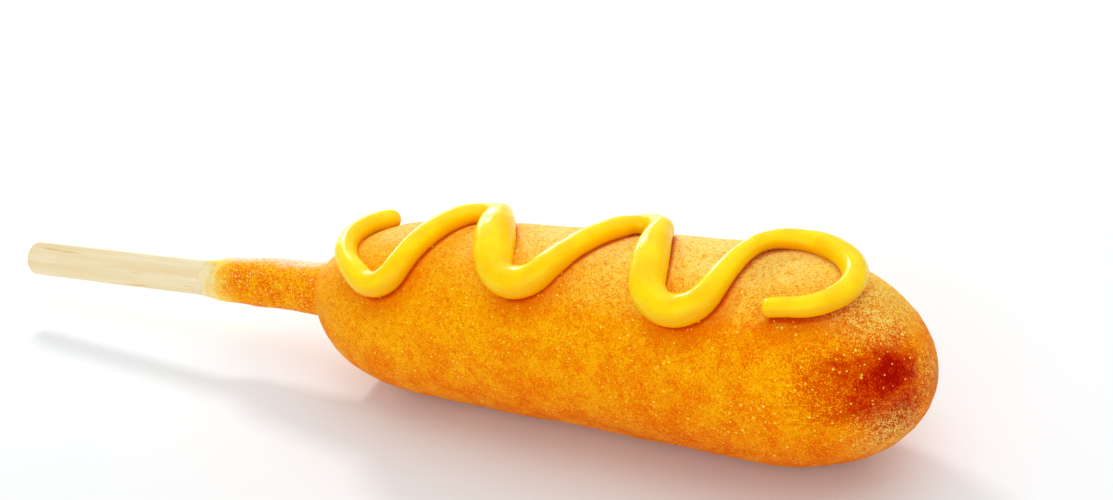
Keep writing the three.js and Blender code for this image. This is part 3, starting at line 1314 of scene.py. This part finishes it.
@dataclass
class Drizzle:
    """The zigzag bead of mustard, laid round its turns in order."""

    batter: Batter
    unroll_radius: float = 20 * MM
    mean_width: float = 5.2 * MM
    height: float = 4.2 * MM
    step: float = 0.8 * MM
    voxel: float = 0.3 * MM
    first_end: RoundedEnd = RoundedEnd(1.1, 2.0)
    last_end: RoundedEnd = RoundedEnd(0.7, 2.8)
    # How far the painted shade beside the bead reaches, and the side, away from the light, that it
    # lies on.
    shade_reach: float = 8 * MM
    shaded_side: Triple = (0.72, -0.22, -0.66)
    turns: tuple[Turn, ...] = (
        turn(14.1, -10.3, 0.0, 4.5, 0.2),
        turn(27.1, -0.5, -16.0, 4.5),
        turn(23.8, 11.0, -4.7, 5.2),
        turn(45.2, -0.6, 11.4, 4.5),
        turn(39.0, -5.0, 4.0, 4.5, 2.7),
        turn(55.6, 6.0, -6.4, 6.3, -0.4),
        turn(79.1, 2.4, 11.0, 4.2, -0.7),
        turn(74.9, -3.1, 4.2, 4.3, 1.6),
        turn(88.8, 7.4, -6.6, 6.0, -1.9),
        turn(107.4, 1.2, 9.4, 4.7, 0.2),
        turn(105.4, 11.3, 0.0, 3.5),
    )
    finish: MustardFinish = MustardFinish()

    def route(self) -> list[Stop]:
        """Lays the route: a straight strand from each turn to the next, and arcs between.

        Returns:
            Its points, in order.
        """
        points: list[Vector] = []
        middles = [0]
        headings = [self.heading(*pair) for pair in zip(self.turns, self.turns[1:])]
        for index, heading in enumerate(headings):
            start, end = self.turns[index], self.turns[index + 1]
            points.extend(self.strand(start.at(heading), end.at(heading)))
            if index + 1 < len(headings):
                arc = self.arc(end, heading, headings[index + 1])
                middles.append(len(points) + len(arc) // 2)
                points.extend(arc)
        middles.append(len(points) - 1)
        spots = [(point.x, point.y / self.unroll_radius) for point in points]
        return [Stop(*both) for both in zip(spots, self.widths(middles))]

    @staticmethod
    def heading(start: Turn, end: Turn) -> float:
        """The heading of the strand that leaves one turn and meets the next."""
        run = Vector((end.along - start.along, end.round - start.round))
        return math.atan2(run.y, run.x) + math.asin((start.radius - end.radius) / run.length)

    def strand(self, start: Vector, end: Vector) -> list[Vector]:
        """Points of a straight strand, without its last."""
        steps = max(1, round((end - start).length / self.step))
        return [start.lerp(end, index / steps) for index in range(steps)]

    def arc(self, bend: Turn, first: float, last: float) -> list[Vector]:
        """Lays points round a turn, without the last.

        Args:
            bend: The turn.
            first: The bead's heading where it meets the turn.
            last: Its heading where it leaves the turn.

        Returns:
            The points, in order.
        """
        sense = math.copysign(1, bend.radius)
        swept = (sense * (last - first)) % (2 * math.pi)
        steps = max(2, round(swept * abs(bend.radius) / self.step))
        return [bend.at(first + sense * swept * index / steps) for index in range(steps)]

    def widths(self, middles: list[int]) -> list[float]:
        """Eases the bead's width from the middle of one turn to the next.

        Args:
            middles: Which point of the route lies at each turn's middle.

        Returns:
            The width at every point.
        """
        widths: list[float] = []
        for index, (first, last) in enumerate(zip(middles, middles[1:])):
            start, end = self.turns[index], self.turns[index + 1]
            for point in range(first, last):
                share = (point - first) / (last - first)
                plain = lerp(start.width, end.width, smooth(share))
                widths.append(plain + start.swell * math.sin(math.pi * share) ** 2)
        widths.append(self.turns[-1].width)
        return widths

    def rails(self) -> list[Ring]:
        """Lifts the route off the crust and rounds off both its ends.

        Returns:
            The bead's middle line, with its radius at each place.
        """
        line: list[Ring] = []
        for stop in self.route():
            plump = math.sqrt(stop.width / self.mean_width)
            lift = self.batter.crust_normal(*stop.spot) * (self.height * plump - stop.width / 2)
            line.append((self.batter.crust_point(*stop.spot) + lift, stop.width / 2))
        first = self.dome(line[0], line[1], self.first_end)
        last = self.dome(line[-1], line[-2], self.last_end)
        return [*reversed(first), *line, *last]

    @staticmethod
    def dome(end: Ring, inward: Ring, shape: RoundedEnd) -> list[Ring]:
        """Shrinking rings that round an end of the bead off.

        Args:
            end: The last ring of the bead.
            inward: The ring before it.
            shape: How the end rounds off, in radii of the bead.

        Returns:
            The rings, from the bead outwards.
        """
        middle, radius = end
        out = (middle - inward[0]).normalized() * radius
        gone = [shape.length * share for share in (0.3, 0.55, 0.75, 0.88, 0.96)]
        return [(middle + out * far, radius * shape.share(shape.length - far)) for far in gone]

    def build(self) -> Piece:
        """Models the bead on the crust.

        Returns:
            The finished piece.
        """
        bead = self.pipe()
        modify(bead, "REMESH", mode="VOXEL", voxel_size=self.voxel)
        modify(bead, "SMOOTH", factor=0.5, iterations=6)
        Relief("wobble", 5 * MM, 0.22 * MM).press(bead)
        Relief("ripples", 1.8 * MM, 0.05 * MM).press(bead)
        paint_skyward(bead)
        bead.data.materials.append(self.finish.material())
        declare(bead, "mustard_bead", "battered_dog")
        return bead

    def shade(self, crust: Piece) -> None:
        """Paints shade on the crust beside the bead, on its side away from the light: 1 at the
        bead, 0 well clear.

        Args:
            crust: The finished crust.
        """
        foot = 0.42  # of the bead's width, from its middle line to where it meets the crust
        wrap = 0.45  # how far the painted shade goes round to the bead's upper side
        shaded_side = Vector(self.shaded_side)
        stops = self.route()
        tree = KDTree(len(stops))
        for index, stop in enumerate(stops):
            tree.insert(self.batter.crust_point(*stop.spot), index)
        tree.balance()
        values = np.zeros(len(crust.data.vertices))
        for index, vertex in enumerate(crust.data.vertices):
            middle, nearest, distance = tree.find(vertex.co)
            clear = distance - foot * stops[nearest].width
            if clear < self.shade_reach and distance > 0:
                side = (vertex.co - middle).dot(shaded_side) / distance
                values[index] = (1 - clamp(clear / self.shade_reach)) * smooth(side + wrap)
        paint(crust, Mask.BESIDE_BEAD, values)

    def pipe(self) -> Piece:
        """Pipes the bead: a round curve along its middle line, made a mesh.

        Returns:
            The bead, before it is smoothed.
        """
        bpy.ops.curve.primitive_bezier_curve_add()
        bead = bpy.context.object
        curve = bead.data
        curve.splines.clear()
        rails = self.rails()
        spline = curve.splines.new("POLY")
        spline.points.add(len(rails) - 1)
        for point, (place, radius) in zip(spline.points, rails):
            point.co = (*place, 1)
            point.radius = radius / MM
        curve.bevel_depth = 1 * MM
        curve.bevel_resolution = 6
        curve.use_fill_caps = True
        take_up(bead)
        bpy.ops.object.convert(target="MESH")
        with editing(bead):
            bpy.ops.mesh.remove_doubles(threshold=0.001 * MM)
            bpy.ops.mesh.normals_make_consistent()
        return bead


# --- The studio ---


@dataclass(frozen=True)
class Lamp:
    """A soft rectangular light, aimed at the corn dog."""

    name: str
    place: Triple
    size: Pair
    power: float


@dataclass
class Studio:
    """A pale floor, soft light and the camera."""

    target: Triple = (37.72 * MM, 0, 35.12 * MM)
    azimuth: float = math.radians(34)
    elevation: float = math.radians(30)
    roll: float = math.radians(10.39)
    distance: float = 320 * MM
    lens: float = 55.29
    fill: float = 0.58
    aim_height: float = 20 * MM
    lamps: tuple[Lamp, ...] = (
        Lamp("window", (-0.46, 0.46, 0.38), (0.15, 0.02), 2.4),
        Lamp("rim", (-0.62, 0.62, 0.13), (0.6, 0.03), 2.4),
        Lamp("overhead", (0.12, 0.20, 0.70), (1.0, 0.9), 2.6),
        Lamp("front", (0.35, -1.05, 0.45), (1.5, 1.0), 5.2),
    )
    finish: FloorFinish = FloorFinish()

    def build(self) -> None:
        """Sets everything up."""
        self.lay_floor()
        self.set_camera()
        for lamp in self.lamps:
            self.hang(lamp)
        world = bpy.data.worlds.new("soft_white")
        world.use_nodes = True
        background = world.node_tree.nodes["Background"]
        background.inputs["Color"].default_value = WHITE
        background.inputs["Strength"].default_value = self.fill
        bpy.context.scene.world = world
        bpy.context.scene.view_settings.view_transform = "Standard"
        bpy.context.scene.view_settings.look = "None"

    def lay_floor(self) -> None:
        """Adds the floor under the corn dog."""
        bpy.ops.mesh.primitive_plane_add(size=8)
        floor = bpy.context.object
        floor.name = "floor"
        floor.data.materials.append(self.finish.material())

    def set_camera(self) -> None:
        """Places the camera: it looks down on the corn dog from the tip's side of the front."""
        bpy.ops.object.camera_add()
        camera = bpy.context.object
        camera.matrix_world = (
            Matrix.Translation(self.target)
            @ Matrix.Rotation(self.azimuth, 4, "Z")
            @ Matrix.Rotation(math.pi / 2 - self.elevation, 4, "X")
            @ Matrix.Translation((0, 0, self.distance))
            @ Matrix.Rotation(-self.roll, 4, "Z")
        )
        camera.data.sensor_fit = "HORIZONTAL"
        camera.data.sensor_width = 36
        camera.data.lens = self.lens
        camera.data.clip_start = 0.01
        bpy.context.scene.camera = camera

    def hang(self, lamp: Lamp) -> None:
        """Hangs one lamp and aims it.

        Args:
            lamp: The lamp.
        """
        bpy.ops.object.light_add(type="AREA", location=lamp.place)
        light = bpy.context.object
        light.name = lamp.name
        aim = Vector((self.target[0], 0, self.aim_height)) - Vector(lamp.place)
        light.rotation_euler = aim.to_track_quat("-Z", "Y").to_euler()
        light.data.shape = "RECTANGLE"
        light.data.size, light.data.size_y = lamp.size
        light.data.energy = lamp.power


# --- The corn dog ---


def main() -> None:
    """Builds the studio and the corn dog, piece by piece."""
    logging.basicConfig(level=logging.INFO, format="%(name)s: %(message)s")
    Studio().build()
    stick = Stick()
    wood = stick.build()
    batter = Batter(stick=stick)
    crust = batter.build(wood)
    drizzle = Drizzle(batter)
    drizzle.shade(crust)
    drizzle.build()


if __name__ == "__main__":
    main()
